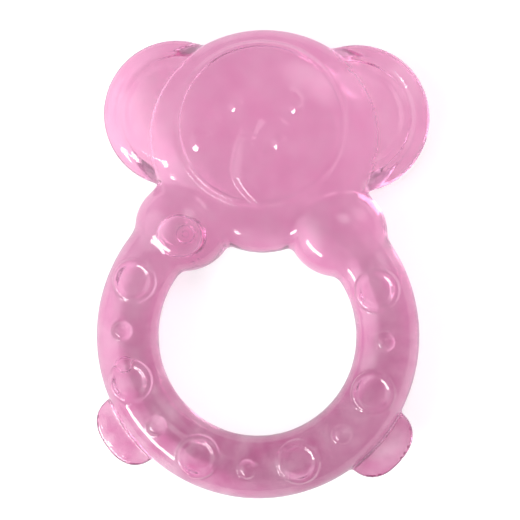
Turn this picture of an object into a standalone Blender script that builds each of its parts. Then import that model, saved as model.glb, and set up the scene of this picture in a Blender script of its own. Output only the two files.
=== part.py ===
"""Water-filled teething ring in the shape of an elephant that holds a ring.

Two soft EVA shells are welded face to face around one chamber of purified water, and a small plug closes
the filling hole in the back. The toy lies on its back: +X is to the right, +Y runs up to the head, +Z comes
out of the face, and z = 0 is the surface that it rests on. Lengths are in millimetres until a mesh is made.
"""

import math

import bmesh
import bpy
from mathutils import Vector

METRES_PER_MM = 0.001
GAP = 0.3  # between pieces that touch
WALL = 1.5  # shell thickness
PARTING_HEIGHT = 7.4  # the weld between the two shells, above the resting surface

# The ring, an elliptic tube bent to a circle about the origin of the plan.
TUBE_RADIUS = 32.25
TUBE_HALF_WIDTH = 7.75
TUBE_HALF_DEPTH = PARTING_HEIGHT  # so the ring's back touches the resting surface

# The head, a pillow with a flat back, which carries a raised oval face.
HEAD_CENTRE = (0.0, 49.0)
HEAD_RADII = (29.1, 26.1)
HEAD_FRONT, HEAD_BACK = 9.8, 8.2
HEAD_POWER = 2.6
FACE_CENTRE = (0.0, 51.5)
FACE_RADII = (21.05, 20.1)
FACE_FRONT = 11.0
FACE_SPREAD = 1.9  # how much wider than the head the face's own pillow is
FACE_LOW, FACE_HIGH = -3.0, 20.0  # the stretch of the upright oval that trims that pillow

BELLY_CENTRE = (0.0, 32.2)
BELLY_RADII = (14.9, 11.8)
BELLY_FRONT, BELLY_BACK = 7.9, 7.0
PAW_CENTRE = (19.1, 26.3)
PAW_RADII = (12.1, 11.2)
PAW_FRONT, PAW_BACK = 10.0, 7.0
LIMB_POWER = 2.2

# The ears and feet are solid, without water.
EAR_CENTRE = (22.4, 54.0)
EAR_RADIUS = 18.0
EAR_PROFILE = (  # distance from the ear's centre and height: plain back, thin edge and two steps in front
    (0.0, -1.6),
    (15.0, -1.7),
    (17.2, -1.1),
    (EAR_RADIUS, 0.0),
    (17.1, 1.6),
    (14.9, 2.9),
    (13.9, 2.2),
    (12.1, 2.75),
    (10.7, 1.9),
    (0.0, 2.9),
)
FOOT_ANGLES = (218.5, 321.5)
FOOT_DISTANCE = 38.9
FOOT_RADII = (7.7, 9.2)  # along and across the ring's radius
FOOT_OUTLINE = 2.4  # above 2, so the outline is squarer than an ellipse
FOOT_PROFILE = ((0.0, -1.5), (0.9, -1.5), (1.0, -0.9), (1.0, 0.9), (0.9, 1.5), (0.0, 1.5))

# Raised relief on the ring, for sore gums.
RIDGE_ANGLES = (22.5, 157.5, 202.5, 247.5, 292.5, 337.5)
RIDGE_PROFILE = ((0.0, 3.0), (5.4, 3.0), (5.4, 7.3), (4.7, 7.9), (4.0, 7.9), (3.4, 7.45), (0.0, 7.45))
BUMP_ANGLES = (0.0, 180.0, 225.0, 270.0, 315.0)
BUMP_RADIUS = 2.4
BUMP_HEIGHT = 0.9
BUMP_ROOT = 0.3  # below the ring's crown

# Relief on the face, rooted this far below its surface.
RELIEF_ROOT = 1.0
FACE_RELIEF = (  # name, x, y, radii and rise
    ("left_eye", -7.4, 55.2, (3.0, 4.2), 0.3),
    ("right_eye", 7.4, 55.2, (3.0, 4.2), 0.3),
    ("left_pupil", -5.5, 55.5, (1.7, 1.7), 0.9),
    ("right_pupil", 9.2, 55.5, (1.7, 1.7), 0.9),
    ("left_cheek", -13.8, 46.8, (3.0, 3.0), 0.7),
    ("right_cheek", 5.2, 46.6, (1.9, 1.9), 1.1),
)
TRUNK_START_DEPTH = 1.5  # half the thickness of its first section, which stays within the face
TRUNK = (  # x, y, width and height above the face, from between the eyes to the tip
    (-0.1, 54.6, 9.4, -0.6),
    (-0.2, 51.8, 10.4, 0.3),
    (-1.2, 48.1, 9.7, 1.1),
    (-2.5, 42.8, 7.9, 1.5),
    (-3.0, 38.9, 5.9, 1.4),
    (-1.5, 35.9, 4.5, 1.2),
    (0.7, 33.0, 3.5, 0.9),
)

# The filling hole, in a low boss behind the left paw, and its mushroom plug.
PLUG_CENTRE = (-19.1, 24.5)
BOSS_RADIUS = 3.6
BOSS_BOTTOM, BOSS_TOP = -6.3, -4.4
HOLE_RADIUS = 1.6
SINK_RADIUS = 2.9
PLUG_HEAD_BOTTOM, PLUG_HEAD_TOP = -6.8, -6.2

# How finely the surfaces are divided: around and across the ring, and around and up a pillow.
OUTER_DETAIL = {"around": 48, "across": 12, "steps": 28, "layers": 5}
INNER_DETAIL = {"around": 36, "across": 10, "steps": 20, "layers": 4}

AIR_BUBBLE_CENTRE = (-19.1, 23.3, 6.3)
AIR_BUBBLE_RADII = (5.7, 5.7, 3.2)

HEAD_TOP = HEAD_CENTRE[1] + HEAD_RADII[1]
RING_OUTER = TUBE_RADIUS + TUBE_HALF_WIDTH
RING_CENTRE_Y = (RING_OUTER - HEAD_TOP) / 2  # puts the middle of the toy's length on y = 0
REACH = 200.0  # larger than the toy, for the blocks that cut it


def clear_scene():
    for old in list(bpy.data.objects):
        bpy.data.objects.remove(old, do_unlink=True)


def ring_frame():
    """The empty that carries every piece: the ring's centre, on the parting plane."""
    frame = bpy.data.objects.new("ring_centre", None)
    frame.location = Vector((0.0, RING_CENTRE_Y, PARTING_HEIGHT)) * METRES_PER_MM
    bpy.context.scene.collection.objects.link(frame)
    return frame


def skin(name, rings, closed=False):
    """A solid through a row of point rings. A ring of one point is a pole, and an open end is capped."""
    mesh = bmesh.new()
    loops = [[mesh.verts.new(Vector(point) * METRES_PER_MM) for point in ring] for ring in rings]
    if closed:
        loops.append(loops[0])
    for near, far in zip(loops, loops[1:]):
        count = max(len(near), len(far))
        for i in range(count):
            j = (i + 1) % count
            corners = (near[i % len(near)], near[j % len(near)], far[j % len(far)], far[i % len(far)])
            mesh.faces.new(list(dict.fromkeys(corners)))
    for end in () if closed else (loops[0], loops[-1]):
        if len(end) > 2:
            mesh.faces.new(end)
    bmesh.ops.recalc_face_normals(mesh, faces=mesh.faces)
    data = bpy.data.meshes.new(name)
    mesh.to_mesh(data)
    mesh.free()
    piece = bpy.data.objects.new(name, data)
    piece.parent = FRAME
    bpy.context.scene.collection.objects.link(piece)
    return piece


def block(name, low, high):
    """A slab that covers the whole toy between two heights."""
    corners = ((-REACH, -REACH), (REACH, -REACH), (REACH, REACH), (-REACH, REACH))
    return skin(name, [[(x, y, z) for x, y in corners] for z in (low, high)])


def turned(name, profile, centre, radii=(1.0, 1.0), outline=2.0, turn=0.0, steps=24):
    """A profile of (distance, height) turned about a vertical axis, stretched to an oval of the given radii.

    An outline above 2 squares the oval off, and turn rotates it.
    """
    cos_turn, sin_turn = math.cos(math.radians(turn)), math.sin(math.radians(turn))
    rings = []
    for distance, height in profile:
        ring = []
        for step in range(steps if distance else 1):
            angle = math.tau * step / steps
            c, s = math.cos(angle), math.sin(angle)
            x = distance * radii[0] * math.copysign(abs(c) ** (2 / outline), c)
            y = distance * radii[1] * math.copysign(abs(s) ** (2 / outline), s)
            ring.append(
                (centre[0] + x * cos_turn - y * sin_turn, centre[1] + x * sin_turn + y * cos_turn, height)
            )
        rings.append(ring)
    return skin(name, rings)


def pillow(name, centre, radii, front, back, power=2.0, base=0.0, steps=28, layers=5):
    """A domed oval: front and back are its heights on each side of base, and power flattens its crown.

    Whatever would reach below the resting surface is flat.
    """
    profile = [(0.0, max(base - back, -PARTING_HEIGHT))]
    for layer in range(1 - layers, layers):
        angle = math.pi / 2 * layer / layers
        height = math.copysign(abs(math.sin(angle)) ** (2 / power), layer)
        distance = math.cos(angle) ** (2 / power)
        level = base + height * (front if layer > 0 else back)
        profile.append((distance, max(level, -PARTING_HEIGHT)))
    profile.append((0.0, base + front))
    return turned(name, profile, centre, radii, steps=steps)


def on_ring(angle, distance=TUBE_RADIUS):
    return distance * math.cos(math.radians(angle)), distance * math.sin(math.radians(angle))


def ring_tube(name, inset, around, across):
    half_width, half_depth = TUBE_HALF_WIDTH - inset, TUBE_HALF_DEPTH - inset
    rings = []
    for step in range(around):
        section = []
        for turn in range(across):
            angle = math.tau * turn / across
            x, y = on_ring(360 * step / around, TUBE_RADIUS + half_width * math.cos(angle))
            section.append((x, y, half_depth * math.sin(angle)))
        rings.append(section)
    return skin(name, rings, closed=True)


def change(target, operation, *tools):
    """Adds one Boolean for each tool, and marks the tools as helpers."""
    for tool in tools:
        step = target.modifiers.new(tool.name, "BOOLEAN")
        step.operation = operation
        step.object = tool
        step.solver = "EXACT"
        tool.hide_render = True
        tool.display_type = "WIRE"


def raised_face(name, inset, steps, layers):
    radii = [radius + FACE_SPREAD - inset for radius in HEAD_RADII]
    front, back = FACE_FRONT - inset, HEAD_FRONT - inset
    face = pillow(name, HEAD_CENTRE, radii, front, back, HEAD_POWER, steps=steps, layers=layers)
    oval = [radius - inset for radius in FACE_RADII]
    profile = ((0.0, FACE_LOW), (1.0, FACE_LOW), (1.0, FACE_HIGH), (0.0, FACE_HIGH))
    edge = turned(name + "_edge", profile, FACE_CENTRE, oval, steps=steps + 4)
    change(face, "INTERSECT", edge)
    return face


def face_height(x, y):
    """How far the face stands above the parting plane at a point of the plan."""
    across = (x - HEAD_CENTRE[0]) / (HEAD_RADII[0] + FACE_SPREAD)
    along = (y - HEAD_CENTRE[1]) / (HEAD_RADII[1] + FACE_SPREAD)
    return FACE_FRONT * (1 - math.hypot(across, along) ** HEAD_POWER) ** (1 / HEAD_POWER)


def chamber(name, inset):
    """The hollow body at a depth below its outer surface: ring, belly, paws, head and face as one solid."""
    detail = INNER_DETAIL if inset else OUTER_DETAIL
    steps, layers = detail["steps"], detail["layers"]
    # The head's outer back is trimmed flat where it rests, so its cavity stops one wall above that.
    head_back = PARTING_HEIGHT - inset if inset else HEAD_BACK
    depths = {
        "head": (HEAD_CENTRE, HEAD_RADII, HEAD_FRONT - inset, head_back, HEAD_POWER),
        "belly": (BELLY_CENTRE, BELLY_RADII, BELLY_FRONT - inset, BELLY_BACK - inset, LIMB_POWER),
    }
    for side, side_name in ((-1, "left"), (1, "right")):
        centre = (side * PAW_CENTRE[0], PAW_CENTRE[1])
        depths[side_name + "_paw"] = (centre, PAW_RADII, PAW_FRONT - inset, PAW_BACK - inset, LIMB_POWER)
    body = ring_tube(name, inset, detail["around"], detail["across"])
    change(body, "UNION", raised_face(name + "_face", inset, steps, layers))
    for part, (centre, radii, front, back, power) in depths.items():
        inner_radii = [radius - inset for radius in radii]
        part_name = f"{name}_{part}"
        change(
            body,
            "UNION",
            pillow(part_name, centre, inner_radii, front, back, power, steps=steps, layers=layers),
        )
    return body


def add_plates(body):
    """The solid ears and feet, which the weld joins to the edge of the body."""
    for side, side_name in ((-1, "left"), (1, "right")):
        centre = (side * EAR_CENTRE[0], EAR_CENTRE[1])
        change(body, "UNION", turned(f"{body.name}_{side_name}_ear", EAR_PROFILE, centre, steps=32))
    for angle in FOOT_ANGLES:
        foot = turned(
            f"{body.name}_foot_{angle}",
            FOOT_PROFILE,
            on_ring(angle, FOOT_DISTANCE),
            FOOT_RADII,
            FOOT_OUTLINE,
            angle,
        )
        change(body, "UNION", foot)


def add_ring_relief(body):
    for angle in RIDGE_ANGLES:
        change(body, "UNION", turned(f"ridge_{angle}", RIDGE_PROFILE, on_ring(angle), steps=16))
    for angle in BUMP_ANGLES:
        bump = pillow(
            f"bump_{angle}",
            on_ring(angle),
            (BUMP_RADIUS, BUMP_RADIUS),
            BUMP_HEIGHT + BUMP_ROOT,
            BUMP_RADIUS,
            base=TUBE_HALF_DEPTH - BUMP_ROOT,
            steps=12,
            layers=3,
        )
        change(body, "UNION", bump)


def add_face_relief(body):
    for name, x, y, radii, rise in FACE_RELIEF:
        base = face_height(x, y) - RELIEF_ROOT
        height = RELIEF_ROOT + rise
        change(body, "UNION", pillow(name, (x, y), radii, height, height, base=base, steps=14, layers=3))
    change(body, "UNION", trunk())


def trunk():
    """A tapering tube that lies on the face and curls at its tip."""
    sides = 10
    rings = []
    for index, (x, y, width, rise) in enumerate(TRUNK):
        before, after = TRUNK[max(index - 1, 0)], TRUNK[min(index + 1, len(TRUNK) - 1)]
        along = Vector((after[0] - before[0], after[1] - before[1])).normalized()
        half_depth = width / 2 if index else TRUNK_START_DEPTH
        crown = face_height(x, y) + rise
        ring = []
        for step in range(sides):
            angle = math.tau * step / sides
            out = width / 2 * math.cos(angle)
            height = crown - half_depth + half_depth * math.sin(angle)
            ring.append((x - along.y * out, y + along.x * out, height))
        rings.append(ring)
    return skin("trunk", rings)


def post(name, radius, low, high, steps=20):
    """An upright cylinder on the plug's axis."""
    return turned(name, ((0.0, low), (radius, low), (radius, high), (0.0, high)), PLUG_CENTRE, steps=steps)


def front_shell():
    shell = chamber("front_shell", 0.0)
    add_plates(shell)
    add_ring_relief(shell)
    add_face_relief(shell)
    change(shell, "DIFFERENCE", chamber("front_cavity", WALL), block("behind_weld", -REACH, GAP / 2))
    return shell


def back_shell():
    shell = chamber("back_shell", 0.0)
    add_plates(shell)
    change(shell, "DIFFERENCE", chamber("back_cavity", WALL), block("before_weld", -GAP / 2, REACH))
    change(shell, "UNION", post("boss", BOSS_RADIUS, BOSS_BOTTOM, BOSS_TOP))
    change(shell, "DIFFERENCE", filling_hole())
    return shell


def filling_hole():
    """The stepped hole for the plug: a wide recess on the back, then the bore through the boss."""
    floor = PLUG_HEAD_TOP + GAP
    profile = (
        (0.0, -REACH),
        (SINK_RADIUS, -REACH),
        (SINK_RADIUS, floor),
        (HOLE_RADIUS, floor),
        (HOLE_RADIUS, 0.0),
        (0.0, 0.0),
    )
    return turned("filling_hole", profile, PLUG_CENTRE, steps=24)


def water_fill():
    water = chamber("water_fill", WALL + GAP)
    bubble = AIR_BUBBLE_CENTRE
    change(
        water,
        "DIFFERENCE",
        post("boss_clearance", BOSS_RADIUS + GAP, -REACH, BOSS_TOP + GAP),
        pillow(
            "air_bubble",
            bubble[:2],
            AIR_BUBBLE_RADII[:2],
            AIR_BUBBLE_RADII[2],
            AIR_BUBBLE_RADII[2],
            base=bubble[2],
            steps=16,
            layers=3,
        ),
    )
    return water


def fill_plug():
    stem = HOLE_RADIUS - GAP
    head = SINK_RADIUS - GAP
    profile = (
        (0.0, PLUG_HEAD_BOTTOM),
        (head - 0.3, PLUG_HEAD_BOTTOM),
        (head, PLUG_HEAD_BOTTOM + 0.2),
        (head, PLUG_HEAD_TOP),
        (stem, PLUG_HEAD_TOP),
        (stem, BOSS_TOP - 0.4),
        (stem - 0.4, BOSS_TOP),
        (0.0, BOSS_TOP),
    )
    return turned("fill_plug", profile, PLUG_CENTRE, steps=20)


def material(name, colour, roughness, transmission, refraction):
    made = bpy.data.materials.new(name)
    made.use_nodes = True
    surface = made.node_tree.nodes["Principled BSDF"]
    surface.inputs["Base Color"].default_value = (*colour, 1.0)
    surface.inputs["Roughness"].default_value = roughness
    surface.inputs["Metallic"].default_value = 0.0
    surface.inputs["Transmission Weight"].default_value = transmission
    surface.inputs["IOR"].default_value = refraction
    made.diffuse_color = (*colour, 1.0)
    return made


def finish(piece, finish_material):
    piece.data.materials.append(finish_material)
    piece.data.shade_smooth()
    piece.data.set_sharp_from_angle(angle=math.radians(30))


clear_scene()
FRAME = ring_frame()
pink_eva = material("pink_eva", (0.76, 0.24, 0.48), 0.12, 0.85, 1.49)
clear_water = material("clear_water", (0.95, 0.97, 1.0), 0.02, 1.0, 1.33)
pink_plug = material("pink_plug", (0.72, 0.20, 0.44), 0.25, 0.5, 1.49)
finish(front_shell(), pink_eva)
finish(back_shell(), pink_eva)
finish(water_fill(), clear_water)
finish(fill_plug(), pink_plug)
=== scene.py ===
"""Water-filled elephant teething ring: the fine meshes, the materials, the light and the camera.

Each piece is the zero surface of a distance field, a function of x, y and z that is negative inside. Fields
are in millimetres about the ring's centre on the weld's plane, and become metres in the frame when a mesh is
made.
"""

import math

import bpy
import numpy as np
from mathutils import Matrix, Vector


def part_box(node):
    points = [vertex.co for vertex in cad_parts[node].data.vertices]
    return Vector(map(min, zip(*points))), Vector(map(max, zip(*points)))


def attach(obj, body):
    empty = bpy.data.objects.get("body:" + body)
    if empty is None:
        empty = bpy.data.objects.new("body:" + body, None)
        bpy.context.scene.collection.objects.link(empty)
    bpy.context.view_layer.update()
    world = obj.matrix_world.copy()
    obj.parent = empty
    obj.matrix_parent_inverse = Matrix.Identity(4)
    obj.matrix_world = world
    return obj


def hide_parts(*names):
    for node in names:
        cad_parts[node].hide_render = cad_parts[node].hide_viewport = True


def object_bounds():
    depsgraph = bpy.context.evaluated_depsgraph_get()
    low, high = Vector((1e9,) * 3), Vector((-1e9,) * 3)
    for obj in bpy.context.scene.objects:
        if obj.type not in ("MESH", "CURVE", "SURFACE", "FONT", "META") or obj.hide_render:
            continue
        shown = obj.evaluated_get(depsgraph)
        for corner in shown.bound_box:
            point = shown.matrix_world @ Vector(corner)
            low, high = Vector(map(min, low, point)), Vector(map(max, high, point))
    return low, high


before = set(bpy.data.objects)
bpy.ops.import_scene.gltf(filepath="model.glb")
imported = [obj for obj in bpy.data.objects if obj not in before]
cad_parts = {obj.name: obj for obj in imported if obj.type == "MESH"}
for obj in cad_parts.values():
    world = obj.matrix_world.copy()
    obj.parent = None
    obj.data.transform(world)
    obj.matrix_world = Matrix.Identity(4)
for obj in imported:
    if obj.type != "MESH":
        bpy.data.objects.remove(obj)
size_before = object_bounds()

# The frame's own places: the ring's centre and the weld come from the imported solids.
LOW, HIGH = size_before
DESIGN_LENGTH = 115.03
UNIT = (HIGH.y - LOW.y) / DESIGN_LENGTH  # metres for one millimetre of the design
WELD_HEIGHT = (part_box("front_shell")[0].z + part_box("back_shell")[1].z) / 2
RING_OUTER = 40.0
ORIGIN = Vector(((LOW.x + HIGH.x) / 2, LOW.y + RING_OUTER * UNIT, WELD_HEIGHT))
REST_DEPTH = -WELD_HEIGHT / UNIT  # the resting surface, below the weld

FACE_FILLET, BELLY_FILLET, PAW_FILLET, HEAD_FILLET = 0.8, 1.6, 1.1, 1.2
FOOT_FILLET, RELIEF_FILLET, TRUNK_FILLET = 0.7, 0.35, 0.5

WALL = 1.5
FILM = 0.04  # left between the water and the wall, round the plug, and between the two shells at the weld

TUBE_RADIUS, TUBE_HALF_WIDTH, TUBE_HALF_DEPTH = 32.25, 7.75, -REST_DEPTH
HEAD_CENTRE, HEAD_RADII = (0.0, 49.0), (29.1, 26.1)
HEAD_FRONT, HEAD_BACK, HEAD_POWER = 9.8, 8.2, 2.6
CAVITY_DRAFT = 0.25  # how far the head's cavity leans inwards behind the weld, for each unit of depth
FACE_CENTRE, FACE_RADII = (0.0, 51.5), (21.05, 20.1)
FACE_FRONT, FACE_SPREAD, FACE_LOW = 11.0, 1.9, -3.0
BELLY_CENTRE, BELLY_RADII = (0.0, 32.2), (14.9, 11.8)
BELLY_FRONT, BELLY_BACK = 7.9, 7.0
PAW_CENTRE, PAW_RADII = (19.1, 26.3), (12.1, 11.2)
PAW_FRONT, PAW_BACK, LIMB_POWER = 10.0, 7.0, 2.2

EAR_CENTRE, EAR_RADIUS = (22.4, 54.0), 18.0
EAR_FRONT, EAR_BACK, EAR_POWER, EAR_BACK_POWER = 5.2, 1.9, 2.0, 6.0
EAR_STEPS = ((14.4, 1.1, 1.1), (11.4, 1.4, 1.19))  # distance from the ear's centre, width and drop inwards
LEFT_EAR_STEPS = 0.3  # the left ear's steps are worn almost smooth
EAR_FILLETS = (0.5, 4.5)  # where the ear meets the head: at the outline, and further in
EAR_FILLET_FADE = (1.0, 6.0)  # how far inside the outline the fillet starts and stops growing
FOOT_ANGLES, FOOT_DISTANCE, FOOT_RADII, FOOT_OUTLINE = (218.5, 321.5), 38.9, (7.7, 9.2), 2.4
FOOT_HALF_DEPTH, FOOT_TAPER, FOOT_EDGE = 1.5, 0.09, 4.0
TOE_DISTANCE, TOE_SPACING, TOE_SETBACK, TOE_RADII, TOE_RISE = 4.7, 4.0, 0.8, (2.0, 1.8), 0.22

RIDGE_ANGLES = (22.5, 157.5, 202.5, 247.5, 292.5, 337.5)
RIDGE_RADIUS, RIDGE_RIM, RIDGE_RISE, RIDGE_SLOPE = 5.4, 4.35, 0.7, 0.62  # a roof round a flat floor
BUMP_ANGLES, BUMP_RADIUS, BUMP_RISE = (0.0, 180.0, 225.0, 270.0, 315.0), 2.4, 1.25
RIDGE_BOTTOM = 3.0  # its root, inside the ring
BUMP_ROOT = 0.4  # how far a bump's widest level lies below the ring's crown

EYE_CENTRE, EYE_RADII, EYE_LINE, EYE_HOLLOW = (7.4, 55.2), (3.0, 4.2), 0.08, 0.12
FACE_DOTS = (  # x, y, radius, width of the sloping edge and its slope: two pupils, then two cheeks
    (-5.5, 55.5, 1.8, 1.5, 0.56),
    (9.2, 55.5, 1.8, 1.5, 0.64),
    (-13.8, 46.9, 3.1, 1.5, 0.42),
    (5.4, 46.8, 2.0, 1.6, 0.55),
)
TRUNK = (  # x, y, width and height above the face, from between the eyes to the tip
    (-0.1, 54.6, 9.4, -1.2),
    (-0.2, 51.8, 10.4, -0.1),
    (-1.2, 48.1, 9.7, 1.0),
    (-2.5, 42.8, 7.9, 1.6),
    (-3.0, 38.9, 5.9, 1.5),
    (-1.5, 35.9, 4.5, 1.2),
    (0.7, 33.2, 3.5, 0.9),
)
TRUNK_DEPTH = 0.8  # of its section, as a share of its half width
TRUNK_BOTTOM = 4.0  # its root, inside the face

PLUG_CENTRE, BOSS_RADIUS = (-19.1, 24.5), 3.6
BOSS_BOTTOM, BOSS_TOP = -6.3, -4.4
HOLE_RADIUS, SINK_RADIUS = 1.6, 2.9
PLUG_BOTTOM, PLUG_TOP = -6.8, -6.2
BUBBLES = (  # x, y, z and the radii across and through
    (-19.1, 23.3, 6.0, 5.5, 3.2),
    (-31.9, -8.4, 3.4, 2.1, 1.7),
)
BUBBLE_COVER = 0.8  # of water between a bubble and the wall above it


# Fields. Each takes x, y and z as numpy arrays that broadcast together.


def far_away(x, y, z):
    """A field with nothing in it yet, for pieces to be added to."""
    return np.full(np.broadcast(x, y, z).shape, 99.0, np.float32)


def join(a, b, radius):
    """The union of two fields, with a fillet about as wide as radius."""
    mix = np.clip(0.5 + 0.5 * (b - a) / radius, 0, 1)
    return b + (a - b) * mix - radius * mix * (1 - mix)


def meet(a, b, radius):
    """The part inside both fields, with its edge rounded off."""
    return -join(-a, -b, radius)


def ring_tube(x, y, z, inset=0.0):
    half_width, half_depth = TUBE_HALF_WIDTH - inset, TUBE_HALF_DEPTH - inset
    across = (np.hypot(x, y) - TUBE_RADIUS) / half_width
    return (np.hypot(across, z / half_depth) - 1) * half_depth


def pillow(x, y, z, centre, radii, front, back, power, draft=0.0):
    """A domed oval whose crown is flatter, the higher the power. Draft makes it narrower towards the back."""
    plan = np.hypot((x - centre[0]) / radii[0], (y - centre[1]) / radii[1])
    plan = plan * (1 + draft * np.maximum(-z, 0) / radii[0])
    rise = np.where(z > 0, z / front, -z / back)
    return ((plan**power + rise**power) ** (1 / power) - 1) * min(front, back)


def oval_prism(x, y, centre, radii):
    plan = np.hypot((x - centre[0]) / radii[0], (y - centre[1]) / radii[1])
    return (plan - 1) * min(radii)


def face_height(x, y):
    """How far the face stands above the weld's plane at a point of the plan."""
    across = (x - HEAD_CENTRE[0]) / (HEAD_RADII[0] + FACE_SPREAD)
    along = (y - HEAD_CENTRE[1]) / (HEAD_RADII[1] + FACE_SPREAD)
    plan = np.minimum(np.hypot(across, along), 0.99)
    return FACE_FRONT * (1 - plan**HEAD_POWER) ** (1 / HEAD_POWER)


def face_marks(x, y):
    """The height that the eyes' outlines, pupils and cheeks add to the face."""
    eye_out = np.hypot((np.abs(x) - EYE_CENTRE[0]) / EYE_RADII[0], (y - EYE_CENTRE[1]) / EYE_RADII[1])
    outline = np.exp(-(((eye_out - 1) / 0.16) ** 2))
    height = EYE_LINE * outline - EYE_HOLLOW * np.clip(1 - eye_out**2, 0, 1)
    for dot_x, dot_y, radius, width, slope in FACE_DOTS:
        out = np.hypot(x - dot_x, y - dot_y)
        height = height + slope * np.clip(radius - out, 0, width)
    return height


def raised_face(x, y, z, inset=0.0, marks=0.0):
    radii = [radius + FACE_SPREAD - inset for radius in HEAD_RADII]
    dome = pillow(x, y, z - marks, HEAD_CENTRE, radii, FACE_FRONT - inset, HEAD_FRONT - inset, HEAD_POWER)
    edge = oval_prism(x, y, FACE_CENTRE, [radius - inset for radius in FACE_RADII])
    return meet(meet(dome, edge, 0.95), FACE_LOW - z, 0.7)


def chamber(x, y, z, inset, marks=0.0):
    """The hollow body at a depth below its outer skin: ring, belly, paws, head and face."""
    head_back = -REST_DEPTH - inset if inset else HEAD_BACK
    head_radii = [radius - inset for radius in HEAD_RADII]
    belly_radii = [radius - inset for radius in BELLY_RADII]
    paw_radii = [radius - inset for radius in PAW_RADII]
    draft = CAVITY_DRAFT if inset else 0.0
    head = pillow(x, y, z, HEAD_CENTRE, head_radii, HEAD_FRONT - inset, head_back, HEAD_POWER, draft)
    head = join(head, raised_face(x, y, z, inset, marks), FACE_FILLET)
    belly = pillow(
        x, y, z, BELLY_CENTRE, belly_radii, BELLY_FRONT - inset, BELLY_BACK - inset, LIMB_POWER
    )
    paws = pillow(
        np.abs(x), y, z, PAW_CENTRE, paw_radii, PAW_FRONT - inset, PAW_BACK - inset, LIMB_POWER
    )
    body = join(ring_tube(x, y, z, inset), belly, BELLY_FILLET)
    return join(join(body, paws, PAW_FILLET), head, HEAD_FILLET)


def on_ring(angle, distance=TUBE_RADIUS):
    return distance * math.cos(math.radians(angle)), distance * math.sin(math.radians(angle))


def ears(x, y, z):
    """Round cushions that slope to a thin edge, with two fine steps down in front and a plain back."""
    out = np.hypot(np.abs(x) - EAR_CENTRE[0], y - EAR_CENTRE[1])
    sharpness = np.where(x > 0, 1.0, LEFT_EAR_STEPS)
    drop = 0.0
    for distance, width, depth in EAR_STEPS:
        drop = drop + sharpness * depth * np.clip((distance - out) / width + 0.5, 0, 1)
    depth = np.where(z > 0, EAR_FRONT, EAR_BACK)
    power = np.where(z > 0, EAR_POWER, EAR_BACK_POWER)
    rise = np.where(z > 0, z + drop, -z) / depth
    plan = out / EAR_RADIUS
    size = np.maximum(np.sqrt(plan**power + rise**2), 0.05)
    slope = np.hypot(power / 2 * plan ** (power - 1) / EAR_RADIUS, rise / depth) / size
    return (size - 1) / np.maximum(slope, 0.03)


def ear_fillet(x, y):
    """A soft fillet between ear and head that narrows towards the ear's outline."""
    start, end = EAR_FILLET_FADE
    depth = EAR_RADIUS - np.hypot(np.abs(x) - EAR_CENTRE[0], y - EAR_CENTRE[1])
    share = np.clip((depth - start) / (end - start), 0, 1)
    return EAR_FILLETS[0] + (EAR_FILLETS[1] - EAR_FILLETS[0]) * share


def feet(x, y, z):
    """Thin squarish plates that thin out towards their edge, each with three faint toes."""
    field = far_away(x, y, z)
    for angle in FOOT_ANGLES:
        centre = on_ring(angle, FOOT_DISTANCE)
        c, s = math.cos(math.radians(angle)), math.sin(math.radians(angle))
        along = (x - centre[0]) * c + (y - centre[1]) * s
        across = (y - centre[1]) * c - (x - centre[0]) * s
        outline = (
            np.abs(along / FOOT_RADII[0]) ** FOOT_OUTLINE + np.abs(across / FOOT_RADII[1]) ** FOOT_OUTLINE
        )
        toes = 0.0
        for toe in (-1, 0, 1):
            toe_along = along - TOE_DISTANCE + TOE_SETBACK * abs(toe)
            toe_out = np.hypot(toe_along / TOE_RADII[0], (across - toe * TOE_SPACING) / TOE_RADII[1])
            toes = toes + TOE_RISE * np.clip(1 - toe_out**2, 0, 1)
        height = FOOT_HALF_DEPTH + np.where(z > 0, toes, 0) - FOOT_TAPER * np.clip(along, 0, FOOT_RADII[0])
        plate = (np.hypot(outline ** (FOOT_EDGE / FOOT_OUTLINE), z / height) - 1) * FOOT_HALF_DEPTH
        field = np.minimum(field, plate)
    return field


def ring_relief(x, y, z):
    """Flat-floored round ridges, and small bumps between them, on the front of the ring."""
    field = far_away(x, y, z)
    for angle in RIDGE_ANGLES:
        centre = on_ring(angle)
        out = np.hypot(x - centre[0], y - centre[1])
        rim = -join(RIDGE_SLOPE * np.hypot(out - RIDGE_RIM, 0.2) - RIDGE_RISE, 0, 0.25)
        disc = meet(out - RIDGE_RADIUS, (z - TUBE_HALF_DEPTH - rim) * 0.85, 0.5)
        field = np.minimum(field, meet(disc, RIDGE_BOTTOM - z, 0.5))
    for angle in BUMP_ANGLES:
        centre = on_ring(angle)
        out = np.hypot(x - centre[0], y - centre[1])
        rise = (z - TUBE_HALF_DEPTH + BUMP_ROOT) / (BUMP_RISE + BUMP_ROOT)
        field = np.minimum(field, (np.hypot(out / BUMP_RADIUS, rise) - 1) * BUMP_RISE)
    return field


def trunk_path(pieces=4):
    """The trunk's centreline as short straight pieces, on a smooth curve through its named points."""
    points = np.array(TRUNK)
    ends = np.vstack([2 * points[0] - points[1], points, 2 * points[-1] - points[-2]])
    path = []
    for i in range(1, len(ends) - 2):
        before, start, end, after = ends[i - 1 : i + 3]
        for t in np.arange(pieces) / pieces:
            path.append(
                0.5
                * (
                    2 * start
                    + (end - before) * t
                    + (2 * before - 5 * start + 4 * end - after) * t**2
                    + (3 * start - 3 * end + after - before) * t**3
                )
            )
    return np.array([*path, points[-1]])


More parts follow.
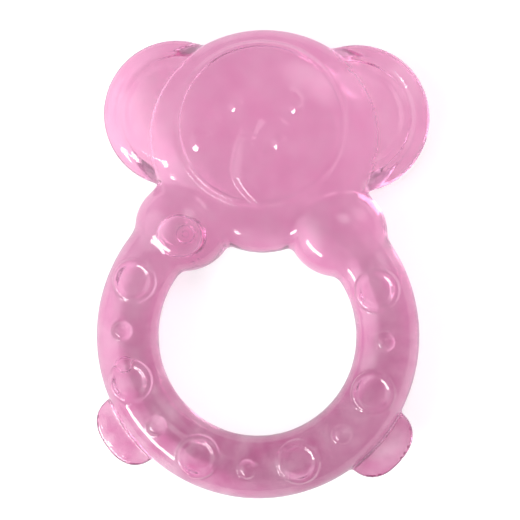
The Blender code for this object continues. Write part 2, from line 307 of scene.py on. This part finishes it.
def trunk(x, y, z):
    field = far_away(x, y, z)
    path = trunk_path()
    for start, end in zip(path, path[1:]):
        step = end[:2] - start[:2]
        t = ((x - start[0]) * step[0] + (y - start[1]) * step[1]) / (step @ step)
        t = np.clip(t, 0, 1)
        radius = (start[2] + (end[2] - start[2]) * t) / 2
        crown = start[3] + (end[3] - start[3]) * t
        out = np.hypot(x - start[0] - step[0] * t, y - start[1] - step[1] * t)
        depth = TRUNK_DEPTH * radius
        middle = face_height(start[0] + step[0] * t, start[1] + step[1] * t) + crown - depth
        field = np.minimum(field, (np.hypot(out / radius, (z - middle) / depth) - 1) * depth)
    return field


def skin(x, y, z, marks=0.0):
    """The toy's outer surface without what stands only on its front."""
    body = chamber(x, y, z, 0.0, marks)
    body = join(body, ears(x, y, z), ear_fillet(x, y))
    body = join(body, feet(x, y, z), FOOT_FILLET)
    return np.maximum(body, REST_DEPTH - z)


def front_skin(x, y, z):
    body = skin(x, y, z, face_marks(x, y))
    body = join(body, ring_relief(x, y, z), RELIEF_FILLET)
    return join(body, np.maximum(trunk(x, y, z), TRUNK_BOTTOM - z), TRUNK_FILLET)


def cavity(x, y, z):
    return chamber(x, y, z, WALL)


def plug_axis(x, y):
    return np.hypot(x - PLUG_CENTRE[0], y - PLUG_CENTRE[1])


def front_wall(x, y, z):
    return np.maximum(front_skin(x, y, z), -cavity(x, y, z))


def front_shell(x, y, z):
    return np.maximum(front_wall(x, y, z), FILM / 2 - z)


def back_wall(x, y, z):
    return np.maximum(skin(x, y, z), -cavity(x, y, z))


def back_shell(x, y, z):
    shell = np.maximum(back_wall(x, y, z), z + FILM / 2)
    out = plug_axis(x, y)
    boss = meet(out - BOSS_RADIUS, np.maximum(z - BOSS_TOP, BOSS_BOTTOM - z), 0.5)
    bore = np.maximum(out - HOLE_RADIUS, z + FILM)
    sink = meet(out - SINK_RADIUS, z - PLUG_TOP - FILM, 0.2)
    return np.maximum(np.maximum(join(shell, boss, 0.6), -bore), -sink)


def bubbles(x, y, z):
    """Air left in the water, flattened under the front wall: one in the left paw, a small one lower."""
    field = far_away(x, y, z)
    for bx, by, bz, across, through in BUBBLES:
        bubble = (np.hypot(np.hypot(x - bx, y - by) / across, (z - bz) / through) - 1) * through
        field = np.minimum(field, bubble)
    return meet(field, cavity(x, y, z) + BUBBLE_COVER, 0.5)


def water_fill(x, y, z):
    water = chamber(x, y, z, WALL + FILM)
    clearance = np.maximum(plug_axis(x, y) - BOSS_RADIUS - FILM, z - BOSS_TOP - FILM)
    return np.maximum(np.maximum(water, -clearance), -bubbles(x, y, z))


def fill_plug(x, y, z):
    out = plug_axis(x, y)
    half_head = (PLUG_TOP - PLUG_BOTTOM) / 2
    head = meet(out - SINK_RADIUS + FILM, np.abs(z - PLUG_BOTTOM - half_head) - half_head, 0.3)
    stem = meet(out - HOLE_RADIUS + FILM, np.maximum(z - BOSS_TOP, PLUG_BOTTOM + 0.1 - z), 0.4)
    dimple = (np.hypot(out / 1.1, (z - PLUG_BOTTOM) / 0.25) - 1) * 0.25
    return np.maximum(join(head, stem, 0.2), -dimple)


# Meshes from fields.


def grid_values(field, axes):
    x, y, z = axes
    values = np.empty((len(x), len(y), len(z)), np.float32)
    for start in range(0, len(x), 32):  # slabs, to keep memory small
        part = slice(start, start + 32)
        values[part] = field(x[part, None, None], y[None, :, None], z[None, None, :])
    return values


def surface_net(field, low, high, step):
    """Vertices, quads and cells of the field's zero surface, with one vertex in each cell that it crosses."""
    axes = [np.arange(lo - 2 * step, hi + 2.5 * step, step) for lo, hi in zip(low, high)]
    values = grid_values(field, axes)
    inside = values < 0
    cells = tuple(n - 1 for n in values.shape)
    count = np.zeros(cells, np.int8)
    corners = [(i, j, k) for i in (0, 1) for j in (0, 1) for k in (0, 1)]
    for i, j, k in corners:
        count += inside[i : i + cells[0], j : j + cells[1], k : k + cells[2]]
    where = np.argwhere((count > 0) & (count < 8))
    index = np.full(cells, -1, np.int64)
    index[tuple(where.T)] = np.arange(len(where))
    total, hits = np.zeros((len(where), 3)), np.zeros(len(where))
    for axis in range(3):
        for i, j, k in corners:
            if (i, j, k)[axis]:
                continue
            near = where + (i, j, k)
            far = near + np.eye(3, dtype=int)[axis]
            a, b = values[tuple(near.T)], values[tuple(far.T)]
            cut = (a < 0) != (b < 0)
            share = np.where(cut, a / np.where(cut, a - b, 1), 0)
            point = near + share[:, None] * np.eye(3)[axis]
            total += point * cut[:, None]
            hits += cut
    points = total / hits[:, None] * step + [axis[0] for axis in axes]
    quads = []
    for axis in range(3):
        b, c = (axis + 1) % 3, (axis + 2) % 3
        near = [slice(None)] * 3
        far = [slice(None)] * 3
        near[axis], far[axis] = slice(0, -1), slice(1, None)
        cut = np.argwhere(inside[tuple(near)] != inside[tuple(far)])
        outward = inside[tuple(cut.T)]
        step_b, step_c = np.eye(3, dtype=int)[b], np.eye(3, dtype=int)[c]
        around = [index[tuple((cut - o).T)] for o in (0 * step_b, step_b, step_b + step_c, step_c)]
        quad = np.stack(around, axis=1)
        quad[~outward] = quad[~outward][:, ::-1]
        quads.append(quad)
    corner = where * step + [axis[0] for axis in axes]
    return points, np.concatenate(quads), corner


def slopes(field, points, reach=0.04):
    """The field and its gradient at each point."""
    gradient = np.empty_like(points)
    for axis in range(3):
        shift = np.eye(3)[axis] * reach
        gradient[:, axis] = (field(*(points + shift).T) - field(*(points - shift).T)) / (2 * reach)
    return field(*points.T), gradient


def settle(field, points, step, rounds=3):
    """Moves the points onto the zero surface, and returns them with its normals."""
    start = points.copy()
    for _ in range(rounds):
        value, gradient = slopes(field, points)
        length = np.maximum((gradient**2).sum(1), 0.05)
        points = points - (value / length)[:, None] * gradient
        points = start + np.clip(points - start, -step * 0.7, step * 0.7)
    _, gradient = slopes(field, points)
    return points, gradient / np.maximum(np.linalg.norm(gradient, axis=1), 1e-6)[:, None]


def follow_weld(wall, points, corner, step, level):
    """Moves the vertices of the cells that the weld's edge crosses onto that edge, at the given level."""
    near = (corner[:, 2] <= level) & (level < corner[:, 2] + step)
    left, low = corner[near, 0], corner[near, 1]
    signs = [wall(left + i * step, low + j * step, level) < 0 for i in (0, 1) for j in (0, 1)]
    crossed = np.flatnonzero(near)[np.ptp(np.array(signs, int), axis=0) > 0]
    x, y = points[crossed, 0], points[crossed, 1]
    reach = 0.02
    for _ in range(5):
        value = wall(x, y, level)
        slope_x = (wall(x + reach, y, level) - wall(x - reach, y, level)) / (2 * reach)
        slope_y = (wall(x, y + reach, level) - wall(x, y - reach, level)) / (2 * reach)
        length = np.maximum(slope_x**2 + slope_y**2, 0.05)
        x = np.clip(x - value * slope_x / length, corner[crossed, 0], corner[crossed, 0] + step)
        y = np.clip(y - value * slope_y / length, corner[crossed, 1], corner[crossed, 1] + step)
    points[crossed] = np.stack([x, y, np.full(x.shape, level)], axis=1)
    return crossed


def in_frame(points):
    return points * UNIT + np.array(ORIGIN)


def piece_from(name, field, low, high, step, materials, choose, wall=None, level=0.0):
    """A mesh piece of the field. choose(x, y, z) gives each face's material, as an index.

    Where the piece is a wall cut off at a level, the edge of the cut is made sharp.
    """
    points, quads, corner = surface_net(field, low, high, step)
    points, normals = settle(field, points, step)
    if wall is not None:
        edge = follow_weld(wall, points, corner, step, level)
        _, slope = slopes(wall, points[edge])
        normals[edge] = slope / np.linalg.norm(slope, axis=1)[:, None]
    mesh = bpy.data.meshes.new(name)
    mesh.from_pydata(in_frame(points), [], quads)
    for material in materials:
        mesh.materials.append(material)
    centres = points[quads].mean(1)
    mesh.polygons.foreach_set("material_index", choose(*centres.T).astype(np.int32))
    mesh.shade_smooth()
    mesh.update()
    mesh.normals_split_custom_set_from_vertices(normals)
    piece = bpy.data.objects.new(name, mesh)
    bpy.context.scene.collection.objects.link(piece)
    return piece


# Materials.

EVA_IOR, WATER_IOR = 1.48, 1.33
HEAD_TINT, RING_SHADED_TINT = (0.80, 0.345, 0.555), (0.545, 0.15, 0.325)  # each face takes the square root; the ring's colour is deeper, painted shade
SHADE_FULL_BELOW, SHADE_GONE_ABOVE = -38.0, 52.0  # where the ring's painted shade starts to fade, and ends
TONE_AND_LIGHT_PATCH_SHARE = 0.30  # how much paler the ring's palest patches are: partly uneven tone, partly painted light from refraction through the back
TONE_AND_LIGHT_PATCH_FADE = 0.6  # how much of that is gone at the head
WET_TINT = (0.98, 0.93, 0.97)
PLUG_TINT = (0.80, 0.32, 0.54)
WHITE = (1.0, 1.0, 1.0)
CLOUD_SCALE, SMEAR_SCALE, PEEL_SCALE = 150, 160, 420  # of the colour, roughness and surface noises, per metre
PEEL_DEPTH = 0.00004  # metres


def new_material(name):
    material = bpy.data.materials.new(name)
    material.use_nodes = True
    nodes = material.node_tree.nodes
    return material, nodes, material.node_tree.links, nodes["Principled BSDF"]


def noise(nodes, links, scale, detail, coordinates):
    texture = nodes.new("ShaderNodeTexNoise")
    texture.inputs["Scale"].default_value = scale
    texture.inputs["Detail"].default_value = detail
    links.new(coordinates.outputs["Object"], texture.inputs["Vector"])
    return texture


def spread(nodes, links, source, low, high):
    """Maps a noise's middle range to low..high."""
    ramp = nodes.new("ShaderNodeMapRange")
    ramp.inputs["From Min"].default_value = 0.3
    ramp.inputs["From Max"].default_value = 0.7
    ramp.inputs["To Min"].default_value = low
    ramp.inputs["To Max"].default_value = high
    links.new(source, ramp.inputs["Value"])
    return ramp.outputs["Result"]


def blend_colours(nodes, links, share, a, b):
    """A colour that goes from a to b. Each is a plain colour or another node's output."""
    mix = nodes.new("ShaderNodeMix")
    mix.data_type = "RGBA"
    links.new(share, mix.inputs["Factor"])
    for name, colour in (("A", a), ("B", b)):
        if isinstance(colour, tuple):
            mix.inputs[name].default_value = (*colour, 1)
        else:
            links.new(colour, mix.inputs[name])
    return mix.outputs["Result"]


def clear_material(name, shaded_ring_tint, head_tint, ior, rough_low, rough_high, bump):
    """Clear matter with a slightly uneven colour, roughness and surface. The colour is deeper towards the
    ring, painted shade, and has pale patches, mostly in the ring, that are partly uneven tone and partly
    painted light from refraction through the back.
    """
    material, nodes, links, surface = new_material(name)
    surface.inputs["Transmission Weight"].default_value = 1.0
    surface.inputs["IOR"].default_value = ior
    coordinates = nodes.new("ShaderNodeTexCoord")
    place = nodes.new("ShaderNodeSeparateXYZ")
    links.new(coordinates.outputs["Object"], place.inputs["Vector"])
    # Painted shade: the colour turns deeper towards the ring.
    fade = nodes.new("ShaderNodeMapRange")
    fade.interpolation_type = "SMOOTHSTEP"
    fade.inputs["From Min"].default_value = ORIGIN.y + SHADE_FULL_BELOW * UNIT
    fade.inputs["From Max"].default_value = ORIGIN.y + SHADE_GONE_ABOVE * UNIT
    links.new(place.outputs["Y"], fade.inputs["Value"])
    tint = blend_colours(nodes, links, fade.outputs["Result"], shaded_ring_tint, head_tint)
    # Pale patches, faded at the head: partly uneven tone, partly painted light from refraction through the
    # back.
    cloud = noise(nodes, links, CLOUD_SCALE, 3, coordinates)
    share = spread(nodes, links, cloud.outputs["Fac"], 0, TONE_AND_LIGHT_PATCH_SHARE)
    strength = nodes.new("ShaderNodeMath")
    strength.operation = "MULTIPLY_ADD"
    links.new(fade.outputs["Result"], strength.inputs[0])
    strength.inputs[1].default_value = -TONE_AND_LIGHT_PATCH_FADE
    strength.inputs[2].default_value = 1.0
    patches = nodes.new("ShaderNodeMath")
    patches.operation = "MULTIPLY"
    links.new(share, patches.inputs[0])
    links.new(strength.outputs["Value"], patches.inputs[1])
    colour = blend_colours(nodes, links, patches.outputs["Value"], tint, WHITE)
    links.new(colour, surface.inputs["Base Color"])
    smear = noise(nodes, links, SMEAR_SCALE, 4, coordinates)
    links.new(spread(nodes, links, smear.outputs["Fac"], rough_low, rough_high), surface.inputs["Roughness"])
    if bump:
        peel = noise(nodes, links, PEEL_SCALE, 2, coordinates)
        relief = nodes.new("ShaderNodeBump")
        relief.inputs["Strength"].default_value = bump
        relief.inputs["Distance"].default_value = PEEL_DEPTH
        links.new(peel.outputs["Fac"], relief.inputs["Height"])
        links.new(relief.outputs["Normal"], surface.inputs["Normal"])
    return material


outer_eva = clear_material("eva_skin", RING_SHADED_TINT, HEAD_TINT, EVA_IOR, 0.07, 0.12, 0.3)
wet_eva = clear_material("eva_wet_side", WET_TINT, WET_TINT, EVA_IOR / WATER_IOR, 0.08, 0.14, 0.0)
joined_eva = clear_material("eva_joint", WHITE, WHITE, 1.0, 0.0, 0.01, 0.0)
joined_eva.node_tree.nodes["Principled BSDF"].inputs["Alpha"].default_value = 0.0
plug_eva = clear_material("eva_plug", PLUG_TINT, PLUG_TINT, EVA_IOR, 0.18, 0.26, 0.5)
water_edge = clear_material("water_on_wall", WHITE, WHITE, 1.0, 0.0, 0.01, 0.0)
water_bubble = clear_material("water_at_bubble", WHITE, WHITE, WATER_IOR, 0.0, 0.02, 0.0)


# Pieces.


OUTER, WET, JOINED = range(3)  # the shells' material slots
EDGE = 0.12  # how near to a surface a face's middle counts as on it


def shell_side(x, y, z):
    wet = cavity(x, y, z) < EDGE
    joined = np.abs(z) < FILM
    on_plug = (plug_axis(x, y) < SINK_RADIUS) & (z > PLUG_TOP - EDGE) & (z < BOSS_TOP - EDGE)
    return np.where(joined | on_plug, JOINED, np.where(wet, WET, OUTER))


def water_side(x, y, z):
    return np.where(bubbles(x, y, z) < EDGE, 1, 0)


def plug_side(x, y, z):
    """0 outside, 1 in the water and 2 where it presses on the boss."""
    return np.where(z > BOSS_TOP - EDGE, 1, np.where(z > PLUG_TOP - EDGE, 2, 0))


SHELL_MATERIALS = [outer_eva, wet_eva, joined_eva]
SHELL_STEP, WATER_STEP, PLUG_STEP = 0.4, 0.45, 0.15
SIDE, TOP, FRONT = 41.5, 76.0, 13.5  # how far the toy reaches, from the ring's centre
SHELL_LOW, SHELL_HIGH = (-SIDE, -RING_OUTER, REST_DEPTH), (SIDE, TOP, FRONT)
pieces = {
    "front_shell": piece_from(
        "front_skin",
        front_shell,
        (*SHELL_LOW[:2], 0.0),
        SHELL_HIGH,
        SHELL_STEP,
        SHELL_MATERIALS,
        shell_side,
        front_wall,
        FILM / 2,
    ),
    "back_shell": piece_from(
        "back_skin",
        back_shell,
        SHELL_LOW,
        (*SHELL_HIGH[:2], 0.0),
        SHELL_STEP,
        SHELL_MATERIALS,
        shell_side,
        back_wall,
        -FILM / 2,
    ),
    "water_fill": piece_from(
        "water_body",
        water_fill,
        SHELL_LOW,
        SHELL_HIGH,
        WATER_STEP,
        [water_edge, water_bubble],
        water_side,
    ),
    "fill_plug": piece_from(
        "filling_plug",
        fill_plug,
        (PLUG_CENTRE[0] - SINK_RADIUS, PLUG_CENTRE[1] - SINK_RADIUS, PLUG_BOTTOM),
        (PLUG_CENTRE[0] + SINK_RADIUS, PLUG_CENTRE[1] + SINK_RADIUS, BOSS_TOP),
        PLUG_STEP,
        [plug_eva, wet_eva, joined_eva],
        plug_side,
    ),
}
for node, piece in pieces.items():
    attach(piece, "root")
    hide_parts(node)


# Stage, light and camera.


def white_floor():
    """A glowing white sheet, so that the toy is lit from behind as on a light table."""
    half, glow, drop = 3.0, 0.63, 0.0002
    mesh = bpy.data.meshes.new("floor")
    corners = [(-half, -half, 0), (half, -half, 0), (half, half, 0), (-half, half, 0)]
    mesh.from_pydata(corners, [], [(0, 1, 2, 3)])
    material, _, _, surface = new_material("white_sheet")
    surface.inputs["Base Color"].default_value = (0.75, 0.75, 0.75, 1)
    surface.inputs["Roughness"].default_value = 0.9
    surface.inputs["Emission Color"].default_value = (1, 1, 1, 1)
    surface.inputs["Emission Strength"].default_value = glow
    mesh.materials.append(material)
    floor = bpy.data.objects.new("floor", mesh)
    floor.location.z = -drop
    bpy.context.scene.collection.objects.link(floor)


def soft_box(name, place, size, power):
    """An area light at a place relative to the toy's middle, facing it."""
    light = bpy.data.lights.new(name, "AREA")
    light.shape = "RECTANGLE"
    light.size, light.size_y = size
    light.energy = power
    lamp = bpy.data.objects.new(name, light)
    middle = Vector((0, 0, WELD_HEIGHT))
    lamp.location = middle + Vector(place)
    lamp.rotation_euler = Vector(place).to_track_quat("Z", "Y").to_euler()
    bpy.context.scene.collection.objects.link(lamp)


def direction(azimuth, zenith):
    """The unit vector towards a light. Azimuth runs from +X to +Y, and zenith down from +Z."""
    a, z = math.radians(azimuth), math.radians(zenith)
    return math.sin(z) * math.cos(a), math.sin(z) * math.sin(a), math.cos(z)


def room_light(base, glows):
    """An even room with soft glows: azimuth, zenith, inner and outer radius in degrees, and strength."""
    world = bpy.data.worlds.new("room")
    world.use_nodes = True
    nodes, links = world.node_tree.nodes, world.node_tree.links
    coordinates = nodes.new("ShaderNodeTexCoord")
    total = None
    for azimuth, zenith, inner, outer, strength in glows:
        facing = nodes.new("ShaderNodeVectorMath")
        facing.operation = "DOT_PRODUCT"
        links.new(coordinates.outputs["Generated"], facing.inputs[0])
        facing.inputs[1].default_value = direction(azimuth, zenith)
        glow = nodes.new("ShaderNodeMapRange")
        glow.interpolation_type = "SMOOTHERSTEP"
        glow.inputs["From Min"].default_value = math.cos(math.radians(outer))
        glow.inputs["From Max"].default_value = math.cos(math.radians(inner))
        glow.inputs["To Min"].default_value = 0.0
        glow.inputs["To Max"].default_value = strength
        links.new(facing.outputs["Value"], glow.inputs["Value"])
        add = nodes.new("ShaderNodeMath")
        add.operation = "ADD"
        links.new(glow.outputs["Result"], add.inputs[0])
        if total is None:
            add.inputs[1].default_value = base
        else:
            links.new(total, add.inputs[1])
        total = add.outputs["Value"]
    background = nodes["Background"]
    background.inputs["Color"].default_value = (0.98, 0.97, 1.0, 1)
    links.new(total, background.inputs["Strength"])
    bpy.context.scene.world = world


def main_camera():
    tilt, roll, distance = math.radians(8), math.radians(2.2), 0.55
    width = 0.1277  # of the view, at the toy
    target = ORIGIN + Vector((0.12, 18.6, 0)) * UNIT
    camera = bpy.data.cameras.new("camera")
    camera.sensor_width = 36
    camera.lens = camera.sensor_width * distance / width
    camera.clip_start = 0.01
    viewer = bpy.data.objects.new("camera", camera)
    turn = Matrix.Rotation(tilt, 4, "Y") @ Matrix.Rotation(roll, 4, "Z")
    viewer.matrix_world = Matrix.Translation(target) @ turn @ Matrix.Translation((0, 0, distance))
    bpy.context.scene.collection.objects.link(viewer)
    bpy.context.scene.camera = viewer


ROOM_STRENGTH = 0.34
ROOM_GLOWS = [(190, 58, 18, 42, 1.75), (45, 60, 4, 22, 1.5), (72, 26, 4, 14, 2.6)]
KEY_DIRECTION, KEY_DISTANCE, KEY_SIZE, KEY_POWER = (222, 61), 0.6, (0.4, 0.1), 2.95
BOUNCES = 100
white_floor()
room_light(ROOM_STRENGTH, ROOM_GLOWS)
soft_box("key", Vector(direction(*KEY_DIRECTION)) * KEY_DISTANCE, KEY_SIZE, KEY_POWER)
main_camera()
bpy.context.scene.view_settings.view_transform = "Standard"
light_paths = bpy.context.scene.cycles  # long enough for light that is caught inside the clear walls
light_paths.max_bounces = light_paths.glossy_bounces = light_paths.transmission_bounces = BOUNCES
light_paths.transparent_max_bounces = BOUNCES
